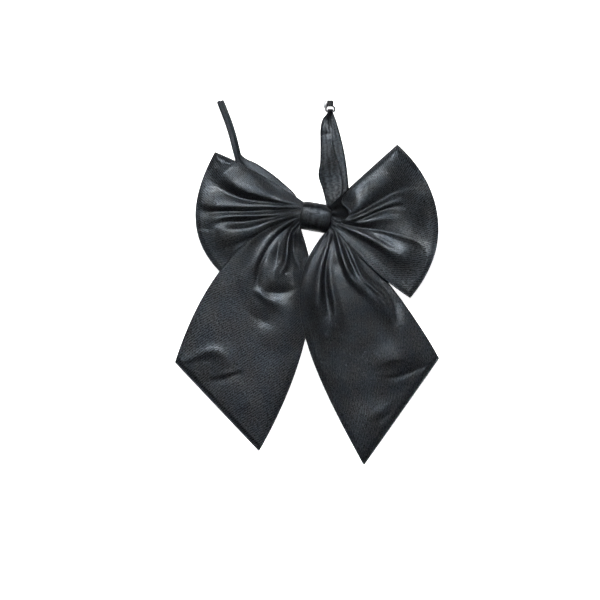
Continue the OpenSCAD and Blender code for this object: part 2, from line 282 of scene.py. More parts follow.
def bumped(nodes, links, bsdf, height, strength, distance):
    bump = nodes.new("ShaderNodeBump")
    put(bump, Strength=strength, Distance=distance)
    links.new(height, bump.inputs["Height"])
    links.new(bump.outputs["Normal"], bsdf.inputs["Normal"])


def satin_material(name, rough, angle, grain, gloss=1.0):
    """Black satin: long floats along one direction give a grainy sheen, with a fine weave under it."""
    mat, nodes, links, bsdf = node_material(name)
    uv = nodes.new("ShaderNodeUVMap")
    uv.uv_map = "cloth"
    turn = nodes.new("ShaderNodeMapping")
    put(turn, Rotation=(0, 0, math.radians(angle)))
    links.new(uv.outputs["UV"], turn.inputs["Vector"])
    stretch = nodes.new("ShaderNodeMapping")
    put(stretch, Scale=(0.3, 1.0, 1.0))
    links.new(turn.outputs["Vector"], stretch.inputs["Vector"])
    floats = noise(nodes, links, stretch.outputs["Vector"], 2300, 2.0)
    speckle = noise(nodes, links, turn.outputs["Vector"], 1900, 2.0)
    patches = noise(nodes, links, turn.outputs["Vector"], 90, 3.0)
    colour = ramp(nodes, links, speckle, (0.36, INK), (0.66, CHARCOAL))
    links.new(colour, bsdf.inputs["Base Color"])
    mixed = nodes.new("ShaderNodeMath")
    mixed.operation = "ADD"
    links.new(floats, mixed.inputs[0])
    links.new(speckle, mixed.inputs[1])
    threads = nodes.new("ShaderNodeTexWave")
    threads.bands_direction = "Y"
    put(threads, Scale=290, Distortion=1.6, Detail_Scale=1.5)
    links.new(turn.outputs["Vector"], threads.inputs["Vector"])
    both = nodes.new("ShaderNodeMath")
    both.operation = "MULTIPLY_ADD"
    both.inputs[1].default_value = 0.22
    links.new(threads.outputs["Fac"], both.inputs[0])
    links.new(mixed.outputs[0], both.inputs[2])
    low = gloss * (0.56 - 0.44 * grain)
    high = gloss * (0.56 + 0.44 * grain)
    shine = scaled(nodes, links, both.outputs[0], low, high, 0.88, 1.36)
    links.new(shine, bsdf.inputs["Specular IOR Level"])
    bumped(nodes, links, bsdf, both.outputs[0], 0.5 * grain, 0.00012)
    dull = scaled(nodes, links, patches, rough - 0.03, rough + 0.05, 0.3, 0.7)
    links.new(dull, bsdf.inputs["Roughness"])
    tint = ramp(nodes, links, patches, (0.35, (0.87, 0.94, 1.0, 1)), (0.65, (0.72, 0.85, 1.0, 1)))
    links.new(tint, bsdf.inputs["Specular Tint"])
    put(bsdf, Sheen_Weight=0.002, Sheen_Roughness=0.45, Sheen_Tint=(0.75, 0.85, 1.0, 1.0))
    return mat


def thread_material():
    mat, nodes, links, bsdf = node_material("twisted_thread")
    coord = nodes.new("ShaderNodeTexCoord")
    wave = nodes.new("ShaderNodeTexWave")
    put(wave, Scale=900)
    wave.bands_direction = "DIAGONAL"
    links.new(coord.outputs["Object"], wave.inputs["Vector"])
    dark = (0.006, 0.006, 0.007, 1)
    light = (0.03, 0.031, 0.034, 1)
    colour = ramp(nodes, links, wave.outputs["Fac"], (0.2, dark), (0.8, light))
    links.new(colour, bsdf.inputs["Base Color"])
    bumped(nodes, links, bsdf, wave.outputs["Fac"], 0.6, 0.0001)
    put(bsdf, Roughness=0.5)
    return mat


def felt_material():
    mat, nodes, links, bsdf = node_material("stiffener_felt")
    coord = nodes.new("ShaderNodeTexCoord")
    fibres = noise(nodes, links, coord.outputs["Object"], 1400, 4.0)
    colour = ramp(nodes, links, fibres, (0.3, (0.03, 0.03, 0.032, 1)), (0.7, (0.09, 0.09, 0.095, 1)))
    links.new(colour, bsdf.inputs["Base Color"])
    bumped(nodes, links, bsdf, fibres, 0.8, 0.0002)
    put(bsdf, Roughness=0.95)
    return mat


def metal_material(name, dark, light, rough, metallic):
    mat, nodes, links, bsdf = node_material(name)
    coord = nodes.new("ShaderNodeTexCoord")
    fine = noise(nodes, links, coord.outputs["Object"], 3200, 3.0)
    patch = noise(nodes, links, coord.outputs["Object"], 420, 2.0)
    colour = ramp(nodes, links, patch, (0.3, dark), (0.7, light))
    links.new(colour, bsdf.inputs["Base Color"])
    dull = scaled(nodes, links, fine, rough - 0.07, rough + 0.12)
    links.new(dull, bsdf.inputs["Roughness"])
    bumped(nodes, links, bsdf, fine, 0.25, 0.00005)
    put(bsdf, Metallic=metallic, Specular_IOR_Level=0.5 if metallic else 0.15)
    return mat


INK = (0.0008, 0.00085, 0.0010, 1)
CHARCOAL = (0.0036, 0.0038, 0.0045, 1)
SATIN = satin_material("black_satin", 0.43, 35, 1.1)
SATIN_BACK = satin_material("black_satin_back", 0.43, -20, 1.0, 0.8)
SATIN_KNOT = satin_material("black_satin_knot", 0.42, 0, 0.6, 0.45)
SATIN_STRAP = satin_material("black_satin_strap", 0.40, 0, 0.7, 0.75)
THREAD = thread_material()
FELT = felt_material()
NICKEL = metal_material("nickel", (0.50, 0.51, 0.53, 1), (0.72, 0.73, 0.75, 1), 0.26, 1.0)
# Near-black for the hook's body: partly the hook's own black, partly painted shade on its dark right side.
HOOK_BLACK_AND_SHADE = metal_material("hook_black_and_painted_shade", (0.008, 0.008, 0.009, 1), (0.02, 0.02, 0.022, 1), 0.42, 0.0)


# ---------------------------------------------------------------- wings and tails
class Lobe:
    """A wing or tail: an outline patch, the folds in it, and how high it lies.

    side_a and side_b are cubic curves from the knot outwards, and rim holds the two inner points of the end.
    mouth_deg says where the sides leave the knot's mouth. lift and puff are how far the front panel swells
    over its middle and just out of the knot, and hem is how deep the seam at its end is.
    """

    def __init__(self, body, side_a, side_b, rim, mouth_deg, folds, shape, base, lift, hem, puff):
        self.body = body
        self.folds = folds
        self.base = base
        self.lift = lift
        self.hem = hem
        self.puff = puff
        self.side_a = side_a
        self.side_b = side_b
        self.rim = [side_a[3], rim[0], rim[1], side_b[3]]
        self.mouth_deg = mouth_deg
        self.shape = shape

    def patch(self, s, t, side_a=None):
        """Places inside the outline: s from the knot outwards, t from side a to side b."""
        a = side_a(s) if side_a else bezier(self.side_a, s)
        b = bezier(self.side_b, s)
        rim = bezier(self.rim, t)
        a0 = a[0] if side_a else np.asarray(self.side_a[0], float)
        a1 = np.asarray(self.side_a[3], float)
        b0 = np.asarray(self.side_b[0], float)
        b1 = np.asarray(self.side_b[3], float)
        s, t = s[:, None], t[:, None]
        root = (1 - t) * a0 + t * b0
        corners = (1 - s) * ((1 - t) * a0 + t * b0) + s * ((1 - t) * a1 + t * b1)
        return (1 - t) * a + t * b + (1 - s) * root + s * rim - corners

    def grid(self, s_from=0.0, s_to=1.0, t_from=0.0, t_to=1.0, shape=None):
        rows, cols = shape or self.shape
        s = np.repeat(np.linspace(s_from, s_to, rows), cols)
        t = np.tile(np.linspace(t_from, t_to, cols), rows)
        return s, t

    def edges(self):
        u = np.linspace(0, 1, 32)
        return [bezier(self.side_a, u), bezier(self.side_b, u), bezier(self.rim, u)]


KNOT_MID = 9.2  # height of the middle of the gathers
SOFTNESS = 0.8  # how much of the folds' drawn height the cloth keeps
MOUTH_Z = 5.3  # half height of the gathers at the knot's mouth
GATHER_FROM, GATHER_TO = 8.0, 30.0  # radii between which the gathers open out into the wing or tail


def back_height(xy, base, h):
    """The back panel follows the folds a little, above the table."""
    return base + 0.45 + 0.2 * np.clip(h, -0.6, 1.2) + ripple(xy, 11, 18, 0.08)


def lobe_height(lobe, xy, t, side):
    """Height of the front (side 1) or back (side -1) panel."""
    r = np.linalg.norm(xy, axis=1)
    base = lobe.base(xy)
    d_a, d_b, d_rim = [to_polyline(xy, e)[0] for e in lobe.edges()]
    d_side = np.minimum(d_a, d_b)
    h = np.zeros(len(xy))
    for fold in lobe.folds:
        h += SOFTNESS * fold_height(xy, *fold)
    h = relax(h, lobe.shape, 2)
    open_out = smooth((r - GATHER_FROM) / (GATHER_TO - GATHER_FROM))
    deg = np.interp(t, [0, 1], lobe.mouth_deg)
    mouth = KNOT_MID + side * MOUTH_Z * np.cos(np.radians(deg)) * (0.7 if lobe.puff else 1)
    pleats = 0.3 * np.cos(2 * math.pi * 3.5 * t) * np.exp(-np.maximum(r - 9, 0) / 9)
    if side > 0:
        seam = base + 1.15
        full = base + 1.6 + lobe.lift * smooth(d_side / 14) * smooth(d_rim / 20)
        full = full + lobe.puff * smooth((r - 9) / 17) * (1 - smooth((r - 26) / 70)) * smooth(d_side / 12)
        full = full + h + ripple(xy, 7, 26, 0.14)
        lowest = back_height(xy, base, h) + 0.95
        full = lowest + 0.5 * np.logaddexp(0, (full - lowest) / 0.5)
        tuck = 1 - np.exp(-(np.minimum(d_side, d_rim) / 1.5))
        z = seam + (full - seam) * tuck
        away = smooth((r - 24) / 12)
        z -= 0.10 * np.exp(-(((d_side - 1.9) / 0.5) ** 2)) * away
        groove = np.exp(-(((d_rim - 1.4) / 0.6) ** 2))
        step = 1 - smooth((d_rim - 1.4) / 1.8)
        z -= lobe.hem * (0.5 * groove + 0.45 * step) * away
    else:
        z = back_height(xy, base, h)
    near = smooth((r - 8.5) / 4) * (1 - open_out) * (0.9 if side > 0 else 0)
    return mouth * (1 - open_out) + z * open_out + h * near + pleats * (0.8 if side > 0 else -0.8)


def panel(lobe, face, side_a=None, lift_edge=None):
    side = 1 if face == "front" else -1
    s, t = lobe.grid()
    xy = lobe.patch(s, t, side_a)
    z = lobe_height(lobe, xy, t, side)
    if lift_edge is not None:
        z = z + lift_edge(s, t)
    across = np.linalg.norm(bezier(lobe.rim, [1.0])[0] - bezier(lobe.rim, [0.0])[0])
    along = np.linalg.norm(np.asarray(lobe.side_a[3]) - np.asarray(lobe.side_a[0]))
    uvs = np.column_stack([s * along * MM, (t - 0.5) * across * MM])
    points = np.column_stack([xy, z])
    satin = SATIN if side > 0 else SATIN_BACK
    obj = cloth_shell(f"{lobe.body}_satin_{face}", points, lobe.shape, uvs, satin)
    finish_lobe_piece(obj, f"{lobe.body}_{face}")


def finish_lobe_piece(obj, node):
    """Hides the lobe's CAD part and bakes the piece's place into its mesh."""
    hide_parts(node)
    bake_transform(obj)


def flat_base(z):
    def height(xy):
        return np.full(len(xy), z)
    return height


def tail_base(z):
    """The tail comes down to the table over most of its length."""
    def height(xy):
        u = np.clip((np.linalg.norm(xy, axis=1) - 46) / 106, 0, 1)
        return z * (1 - 0.7 * u - 0.3 * smooth(u))
    return height


def drooping_base(z):
    def height(xy):
        r = np.linalg.norm(xy, axis=1)
        deg = np.degrees(np.arctan2(xy[:, 1], xy[:, 0]))
        return z - 8 * smooth((r - 22) / 52) * smooth((deg + 20) / 25)
    return height


LEFT_WING_FOLDS = [
    # the corner stands up a little along its top edge
    ([(-72, 45), (-60, 41.5), (-52, 38), (-46, 34.5)], [1.8, 2.4, 2.4, 0.3], [3, 3, 3, 3],
     [11, 11, 8, 4]),
    # the upper crest with its wide northern slope, then valleys and ridges down the wing
    ([(-9, 7.4), (-15.6, 8.2), (-28.5, 11.6), (-36, 14), (-43, 16.4), (-49, 20.5), (-54, 27)],
     [0.8, 1.6, 2.8, 3.2, 3.4, 3.2, 1.2], [0.8, 1.2, 2.2, 2.8, 3.6, 4.5, 5], [1.2, 2.5, 5, 8, 10, 10, 9]),
    ([(-9, 6.6), (-20, 7.3), (-30, 8.6), (-41, 9.8), (-52, 13.5), (-62, 20), (-66, 27)],
     [-0.8, -1.4, -1.8, -2.2, -2.2, -1.6, -0.5], [0.8, 1.0, 1.4, 1.6, 2.2, 3, 3],
     [0.8, 1.2, 2.0, 3.0, 5, 6, 6]),
    ([(-9, 5.6), (-28, 6.0), (-41, 5.6), (-52, 5.8), (-61, 6.6), (-69, 9)],
     [0.9, 1.6, 2.0, 2.2, 2.0, 0.9], [0.8, 1.2, 1.6, 2.2, 2.8, 3], [0.9, 2.0, 3.2, 4.4, 5.4, 5]),
    ([(-9, 4.2), (-28, 3.6), (-42, 3.1), (-55, 2.9), (-66, 2.6)],
     [-1.0, -1.7, -1.9, -1.7, -0.6], [0.7, 1.0, 1.2, 1.4, 1.8], [0.9, 1.3, 1.6, 2.0, 2.4]),
    ([(-20, 1.2), (-30, 0.6), (-42, 0.3), (-52, 0), (-60, -1.2), (-68, -4)],
     [0.3, 1.2, 1.5, 1.6, 1.6, 0.8], [0.6, 0.8, 1.0, 1.2, 2.4, 3], [0.8, 1.0, 1.2, 1.5, 2.6, 3.2]),
    ([(-30, -1.3), (-38, -2.6), (-46, -3.4), (-54, -3.2)], [-0.6, -1.8, -2.0, -0.4],
     [0.8, 1.4, 1.6, 1.6]),
    ([(-9, 1.6), (-25, -2.6), (-38, -6.9), (-50, -8.8), (-60, -8.6)],
     [0.9, 1.8, 2.5, 2.8, 1.4], [0.8, 2.4, 6.0, 9.0, 10], [0.7, 1.1, 1.6, 2.2, 3.5]),
    ([(-9.6, -0.3), (-25.2, -8.1), (-37, -12.6), (-48, -16.5), (-61.2, -21.3)],
     [-1.0, -1.3, -0.9, -0.6, -0.2], [1.0, 2.0, 3.0, 3.4, 3], [0.8, 1.2, 1.8, 2.4, 2.6]),
]

LEFT_TAIL_FOLDS = [
    ([(-9.6, -1.0), (-16, -3.5), (-22, -6.8), (-27.5, -10.8), (-32, -16.6), (-36.8, -23.4),
      (-42, -33), (-46, -46)],
     [1.0, 2.0, 2.8, 3.2, 3.0, 2.2, 1.2, 0.2], [0.9, 1.5, 2.8, 4.6, 6, 6, 7, 9],
     [0.9, 1.5, 2.6, 4, 5, 6, 8, 9]),
    ([(-10, -2.6), (-21, -9.8), (-27.6, -17.4), (-32.3, -26), (-34.6, -35), (-35.2, -41.5)],
     [-0.9, -1.6, -1.9, -1.9, -1.7, -0.9], [0.8, 1.3, 1.6, 1.6, 1.4, 1.2]),
    ([(-17, -10), (-21.5, -16), (-23.2, -23), (-24, -31)], [-0.8, -2.2, -2.4, -0.6],
     [1.4, 1.8, 2.2, 2.6], [2.5, 4.5, 5.5, 4]),
    ([(-10.6, -4.0), (-15.2, -9.3), (-16.9, -16.4), (-17.6, -23), (-18.4, -28.5), (-21, -33.5),
      (-20, -37.5)],
     [1.0, 1.6, 1.8, 1.8, 1.6, 1.4, 0.7], [0.8, 1.0, 1.1, 1.2, 1.4, 2.2, 3.6]),
    ([(-9.6, -6.0), (-11.0, -10.5), (-10.2, -15.5), (-9.5, -22)], [0.9, 1.6, 1.0, 0.3],
     [1.0, 1.5, 2.2, 3]),
    ([(-13, -12), (-13.6, -18), (-12.8, -25), (-10, -32)], [-0.8, -1.4, -1.2, -0.4], [0.9, 1.4, 2, 3]),
    ([(-8, -27), (-7.6, -36), (-8.5, -46)], [-0.6, -1.1, -0.5], [2.6, 3.4, 4]),
    ([(-33, -45), (-27, -46.4), (-20, -46), (-13, -44)], [-0.3, -1.7, -1.6, -0.5], [2, 4.5, 5, 4],
     [1.1, 1.8, 2.0, 2.2]),
    ([(-36, -45), (-33, -46.2), (-30, -48.6), (-24, -52), (-19, -57), (-19.6, -62.5), (-28, -71)],
     [0.4, 1.2, 1.0, 0.9, 0.9, 0.7, 0.3], [1.4, 1.7, 2.2, 3.0, 4.0, 4.5, 5]),
    ([(-37, -60), (-31, -63), (-26, -66)], [-0.6, -1.4, -0.6], [5, 7, 6], [3, 4, 4]),
    ([(-80, -87), (-71, -83.2), (-63.5, -80.6), (-57.4, -82.4), (-55.2, -86.4)],
     [0.3, 0.8, 0.9, 0.7, 0.3], [1.6, 2.0, 2.4, 2.8, 3]),
    ([(-77, -88.5), (-71, -87), (-64, -85.4)], [-0.3, -0.6, -0.4], [1.2, 1.6, 2]),
    ([(-62, -99), (-54.5, -97.2), (-46.2, -94.4)], [-0.4, -1.1, -0.5], [1.1, 1.3, 1.3]),
    ([(-62, -96.4), (-54.5, -94.6), (-47.2, -91.8)], [0.2, 0.6, 0.2], [1.3, 1.5, 1.3]),
    ([(-50, -117), (-44, -113.5), (-41, -109.5)], [0.2, 0.6, 0.2], [1.4, 1.8, 1.6]),
]

RIGHT_TAIL_FOLDS = [
    # ridges and valleys from the inner edge to the outer one
    ([(8.0, -10), (1.4, -19), (-5.0, -31), (-8.5, -41), (-10, -50)],
     [0.8, 1.5, 1.6, 1.0, 0.2], [1.0, 2, 3, 4, 5], [0.8, 1.2, 1.6, 2, 2.5]),
    ([(8.9, -11), (5.9, -20), (2.9, -31), (1.9, -43), (1.4, -53), (3, -61)],
     [0.8, 1.8, 2.4, 2.4, 2.0, 0.5], [0.8, 1.1, 1.5, 2, 3, 4], [0.9, 1.4, 2.4, 3.6, 5, 6]),
    ([(9, -15), (6.9, -25), (5.4, -35), (5.9, -47), (7.6, -57)],
     [-0.5, -1.2, -2.0, -2.2, -0.8], [0.8, 1, 1.6, 2.2, 2.2]),
    ([(8.2, -30), (8.9, -42), (11.2, -53), (11.9, -61), (10.4, -69)],
     [0.4, 1.6, 1.6, 1.3, 0.5], [1, 1.8, 2.6, 3.4, 5], [0.8, 1.2, 1.6, 2.5, 4]),
    ([(10.0, -13), (11.4, -21), (13.2, -28), (15.4, -34.5)], [-0.8, -1.8, -2.0, -0.6], [1, 2.2, 3, 3]),
    ([(11.4, -7.1), (13.9, -17), (17.4, -29), (21.4, -37), (29.4, -44), (35.9, -50), (38.4, -59)],
     [0.8, 1.8, 2.2, 2.0, 1.6, 1.2, 0.3], [0.8, 1.3, 1.8, 2.4, 3, 4, 5], [0.8, 1.2, 1.6, 2.0, 2.5, 3, 4]),
    ([(17.4, -19), (24.4, -34), (30.4, -42), (37.4, -48)], [-0.8, -1.5, -1.3, -0.4],
     [1.2, 1.6, 1.5, 1.4]),
    ([(14.4, -9), (21.4, -23), (27.4, -37), (34.4, -42.6), (40.9, -48), (44.4, -57), (46.4, -65)],
     [0.8, 1.8, 2.0, 2.0, 2.0, 1.8, 0.6], [0.8, 1.4, 1.6, 1.8, 2, 2.2, 3],
     [0.8, 1.3, 1.6, 2, 2.6, 3.4, 4]),
    ([(28.4, -31), (37.4, -38), (43.4, -42)], [-0.6, -1.2, -0.8], [1.6, 3, 3]),
    ([(41.4, -43), (46.4, -52), (48.4, -61)], [-0.8, -2.0, -0.8], [2, 2.6, 2.2]),
    ([(50.4, -53), (53.4, -65), (51.4, -74)], [0.4, 1.0, 0.4], [2.5, 3.5, 5]),
    ([(36, -88), (43, -85.6), (50, -85), (57, -85.5)], [0.3, 1.2, 1.1, 0.3], [6, 7, 7, 6],
     [2.5, 3, 3, 2.5]),
    ([(43, -97.4), (49, -96.2), (56, -93.8), (65.4, -90.4)], [-0.3, -1.1, -1.2, -0.7],
     [1.0, 1.3, 1.2, 1.0]),
    ([(36, -123.5), (40, -121), (46, -117)], [-0.2, -0.8, -0.4], [1.4, 1.6, 1.4]),
    ([(35, -120), (39, -117), (46, -111)], [0.2, 0.7, 0.3], [1.8, 2, 1.8]),
    # the tip rises a little
    ([(20, -136), (42, -128)], [1.2, 1.2], [11, 11]),
]

RIGHT_WING_FOLDS = [
    # the top edge stands up, with a wide slope below it
    ([(12, 12), (22, 23), (35, 35.5), (49, 48), (57, 50)], [0.4, 2.2, 3.7, 3.5, 1.8], [3, 3, 3, 3, 3],
     [5, 10, 14, 15, 14]),
    ([(19, -1.5), (23.6, 4), (26.5, 10), (30, 17), (33, 22)], [2.0, 2.2, 1.7, 0.7, 0.1],
     [4.5, 5.5, 6, 6, 5], [2.6, 5, 7, 7, 7]),
    ([(14, -1), (22, 0.6), (30, 4.6), (39.6, 9.8), (50, 15.2), (60, 18), (68, 16.5)],
     [-0.6, -1.5, -2.0, -2.2, -2.2, -1.6, -0.6], [0.8, 1.6, 3, 4.5, 6, 7, 7],
     [0.8, 1.2, 1.6, 2.2, 3, 4, 4]),
    ([(10, -1.2), (15, -2.4), (22, -1.8), (30, 1.4), (39.7, 6), (50, 9.4), (60, 9)],
     [0.8, 1.2, 1.5, 1.7, 1.9, 2.0, 1.0], [0.8, 0.9, 1.0, 1.4, 2.0, 3.4, 4.5],
     [0.8, 0.9, 1.0, 1.2, 1.6, 2.6, 4]),
    ([(24, -3.3), (30, -0.8), (39.7, 3.6), (50, 6.2)], [-0.3, -1.3, -1.3, -0.2], [0.7, 0.8, 0.9, 1.0]),
    ([(11, -2.4), (20.8, -4), (30, -3.2), (39.7, -0.6), (50, 0.4), (60, -0.8), (67, -2.5)],
     [0.7, 1.1, 1.6, 2.0, 2.2, 1.8, 0.6], [0.8, 1.1, 1.6, 2.4, 3.8, 6, 6], [0.8, 1.2, 2.0, 3.2, 5, 6, 6]),
    ([(11.5, -3.2), (23.4, -6.4), (36.5, -8.4), (49.5, -11.7), (59.2, -15), (67.4, -20)],
     [-0.8, -1.5, -1.8, -1.9, -1.7, -0.5], [0.8, 1.5, 2.2, 2.6, 2.4, 2], [0.8, 1.1, 1.4, 1.6, 1.6, 1.6]),
    ([(33, -9), (38.4, -10.8), (46.2, -14.4), (52.7, -18.8), (58, -23.6)],
     [0.1, 0.6, 0.9, 1.0, 0.5], [1.2, 1.8, 2.6, 3.4, 4.0]),
    ([(36, -13), (41.7, -15.6), (49, -19.8)], [-0.3, -1.1, -0.3], [1.2, 1.8, 1.8]),
    ([(11, -4.2), (20.8, -8.2), (29.9, -12.4), (39.7, -17.3), (49.5, -23.2), (57, -28.2)],
     [0.9, 1.6, 2.0, 2.0, 1.8, 0.6], [0.9, 1.3, 1.8, 2.2, 3.0, 4.4], [0.9, 1.2, 1.5, 2.2, 3.4, 5]),
    ([(12, -6.6), (22, -14), (32, -22.6), (42, -31)], [-0.6, -1.2, -1.0, -0.3], [1.1, 3.0, 5, 6]),
]

left_wing = Lobe(
    "left_wing",
    side_a=[(-7.4, 8.4), (-27, 22.5), (-42, 31), (-60.6, 38.7)],
    side_b=[(-8.4, -1.6), (-24, -15), (-36, -29), (-50, -40)],
    rim=[(-74, 14), (-82, -15)],
    mouth_deg=(78, -8),
    folds=LEFT_WING_FOLDS,
    shape=(112, 124),
    base=flat_base(LAYER_Z["left_wing"]),
    lift=2.0,
    hem=0.15,
    puff=0,
)
left_tail = Lobe(
    "left_tail",
    side_a=[(-8.6, -0.2), (-38, -6), (-66, -30), (-84.7, -87.5)],
    side_b=[(-9.7, -7.9), (8, -45), (-10, -98), (-34.3, -141)],
    rim=[(-67.9, -105.3), (-51.1, -123.2)],
    mouth_deg=(8, -84),
    folds=LEFT_TAIL_FOLDS,
    shape=(200, 108),
    base=tail_base(LAYER_Z["left_tail"]),
    lift=1.2,
    hem=0.7,
    puff=1.6,
)
right_tail = Lobe(
    "right_tail",
    side_a=[(5.8, -9.7), (-24.5, -42.5), (-8, -82), (28.8, -149.5)],
    side_b=[(9.0, -3.6), (27, -20), (52, -46), (73.9, -85.1)],
    rim=[(43.8, -128), (58.9, -106.6)],
    mouth_deg=(84, 10),
    folds=RIGHT_TAIL_FOLDS,
    shape=(200, 108),
    base=tail_base(LAYER_Z["right_tail"]),
    lift=1.2,
    hem=0.8,
    puff=1.6,
)
right_wing = Lobe(
    "right_wing",
    side_a=[(8.2, 6.4), (20, 16.8), (34, 30), (48.8, 43.1)],
    side_b=[(9.0, -4.2), (21, -19.5), (35, -35), (56.3, -48.9)],
    rim=[(74.5, 20), (84.5, -15)],
    mouth_deg=(70, 8),
    folds=RIGHT_WING_FOLDS,
    shape=(112, 136),
    base=drooping_base(LAYER_Z["right_wing"]),
    lift=1.8,
    hem=0.15,
    puff=0,
)

CURL = [(9.0, 0.2), (12, -1.6), (15.8, -2.2), (18.8, -0.8), (19.6, 2.0), (18.0, 4.8), (15.8, 7.2),
        (15.0, 9.8), (16.8, 13.0)]
CURL_TO = 0.36  # part of the right wing's top edge that rolls open beside the knot
PLAIN_FROM = 0.52  # where the edge is plain again


def right_wing_edge(s):
    """The front panel's top edge: an open roll beside the knot, then the plain edge."""
    plain = bezier(right_wing.side_a, s)
    rolled = through(CURL + [tuple(bezier(right_wing.side_a, [PLAIN_FROM])[0])], s / PLAIN_FROM)
    w = smooth((s - CURL_TO) / (PLAIN_FROM - CURL_TO))[:, None]
    return rolled * (1 - w) + plain * w


def roll_lift(s, t):
    """The rolled edge stands up over the hollow beside the knot."""
    return 1.2 * np.exp(-(((s - 0.2) / 0.13) ** 2)) * np.exp(-((t / 0.10) ** 1.5))


for plain_lobe in (left_wing, left_tail, right_tail):
    panel(plain_lobe, "front")
    panel(plain_lobe, "back")
panel(right_wing, "front", right_wing_edge, roll_lift)
panel(right_wing, "back")


def stiffener(lobe):
    shape = (40, 40)
    s, t = lobe.grid(0.24, 0.965, 0.05, 0.95, shape)
    xy = lobe.patch(s, t)
    z = back_height(xy, lobe.base(xy), 0.6) + 0.3
    obj = cloth_shell(f"{lobe.body}_felt", np.column_stack([xy, z]), shape, xy * MM, FELT, FELT_THICK)
    finish_lobe_piece(obj, f"{lobe.body}_stiffener")


stiffener(left_wing)
stiffener(right_wing)


# ---------------------------------------------------------------- knot
KNOT_TILT = math.radians(-10)
BAND_Y, BAND_Z = -0.6, 8.5  # middle of the band's loop, along and above the collar line
BAND_R = 8.6  # half size of the loop


def tilted(points):
    """Turns points of the knot's own axes into the bow's."""
    c = math.cos(KNOT_TILT)
    d = math.sin(KNOT_TILT)
    p = np.asarray(points, float)
    return np.column_stack([p[:, 0] * c - p[:, 1] * d, p[:, 0] * d + p[:, 1] * c, p[:, 2]])


def band_edges(y):
    """Left and right edges of the band in front: narrower at the top and bottom than in the middle."""
    left = np.interp(y, [-9.5, -1, 7.6], [-8.2, -9.7, -8.6])
    right = np.interp(y, [-9.2, -4, 1.5, 4.5, 7.2], [7.3, 8.9, 9.5, 8.4, 6.0])
    return left, right


def squared(v, power):
    """Bends a circle's sine or cosine towards a rounded square's."""
    return np.sign(v) * np.abs(v) ** power


def knot_band():
    around, across = 168, 44
    phi = np.linspace(0, 2 * math.pi, around, endpoint=False)
    ring_y = squared(np.cos(phi), 0.68)
    ring_z = squared(np.sin(phi), 0.68)
    turn = np.linspace(0, 2 * math.pi, across, endpoint=False)
    rows = []
    for k in range(around):
        left, right = band_edges(BAND_Y + BAND_R * ring_y[k])
        front = smooth(ring_z[k] + 0.6)
        left = left * front - 8.2 * (1 - front)
        right = right * front + 8.0 * (1 - front)
        half = (right - left) / 2
        middle = (right + left) / 2
        cell = []
        for a in turn:
            u = squared(math.cos(a), 0.45)
            side = squared(math.sin(a), 0.55)
            crease = 0.04 * math.cos(2.6 * math.pi * u + 0.5 * math.sin(phi[k])) * max(side, 0) * (1 - u**4)
            r = -0.25 * abs(u) ** 5 + crease + 0.55 * side
            y = BAND_Y + (BAND_R + r - 0.55) * ring_y[k]
            z = max(BAND_Z + (BAND_R + r - 0.45) * ring_z[k], 0.02 + 0.35 * (1 - side))
            cell.append((middle + u * half, y, z))
        rows.append(cell)
    verts = tilted(np.array(rows).reshape(-1, 3))
    faces = []
    uvs = []
    for k in range(around):
        for i in range(across):
            j, m = (i + 1) % across, (k + 1) % around
            faces.append((k * across + i, k * across + j, m * across + j, m * across + i))
            uvs.append((k / around * 0.054, i / across * 0.04))
    obj = new_object("knot_wrap", verts, faces, SATIN_KNOT, uvs)
    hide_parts("knot_band")
    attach(obj, "root")


def gathered_bundle():
    rows, cols = 33, 160
    x = np.linspace(-9.4, 9.4, rows)
    theta = np.linspace(0, 2 * math.pi, cols, endpoint=False)
    verts = [(-9.4, 0, KNOT_MID)]
    for v in x:
        r = 5.15 + 0.5 * smooth(abs(v) / 9)
        r = r + 0.3 * np.cos(19 * theta + 0.12 * v) + 0.12 * np.cos(31 * theta - 0.2 * v)
        r = r * (1 - 0.3 * smooth((abs(v) - 7.6) / 1.8))
        for i in range(cols):
            verts.append((v, r[i] * math.cos(theta[i]) - 0.4, KNOT_MID + r[i] * math.sin(theta[i])))
    verts.append((9.4, 0, KNOT_MID))
    faces = []
    for k in range(rows - 1):
        for i in range(cols):
            a, j = 1 + k * cols, (i + 1) % cols
            faces.append((a + i, a + cols + i, a + cols + j, a + j))
    last = 1 + (rows - 1) * cols
    for i in range(cols):
        faces.append((0, 1 + i, 1 + (i + 1) % cols))
        faces.append((len(verts) - 1, last + (i + 1) % cols, last + i))
    uvs = [(v[0] * MM, v[2] * MM) for v in verts]
    obj = new_object("gathered_bundle", tilted(verts), faces, SATIN_BACK, uvs)
    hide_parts("gathered_waist")
    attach(obj, "root")


def rod(centres, radius, closed=False, plies=0, turns=0):
    """Vertices and faces of a wire, or of a plied thread, along a line of points."""
    c = np.asarray(centres, float)
    n = len(c)
    ahead = np.roll(c, -1, axis=0) - np.roll(c, 1, axis=0) if closed else np.gradient(c, axis=0)
    ahead /= np.linalg.norm(ahead, axis=1, keepdims=True)
    ref = np.array([0.31, 0.17, 0.93]) if abs(ahead[:, 2]).mean() < 0.8 else np.array([1.0, 0.2, 0.1])
    one = np.cross(ahead, ref)
    one /= np.linalg.norm(one, axis=1, keepdims=True)
    two = np.cross(ahead, one)
    sides = 10
    verts, faces = [], []
    for i in range(n):
        twist = 2 * math.pi * turns * i / n
        for k in range(sides):
            a = 2 * math.pi * k / sides
            r = radius * (0.86 + 0.14 * abs(math.cos(plies * (a - twist) / 2)))
            verts.append(c[i] + r * (math.cos(a) * one[i] + math.sin(a) * two[i]))
    spans = n if closed else n - 1
    for i in range(spans):
        for k in range(sides):
            a, b, j = i * sides, ((i + 1) % n) * sides, (k + 1) % sides
            faces.append((a + k, a + j, b + j, b + k))
    if not closed:
        faces.append(tuple(range(sides - 1, -1, -1)))
        faces.append(tuple(range((n - 1) * sides, n * sides)))
    return verts, faces


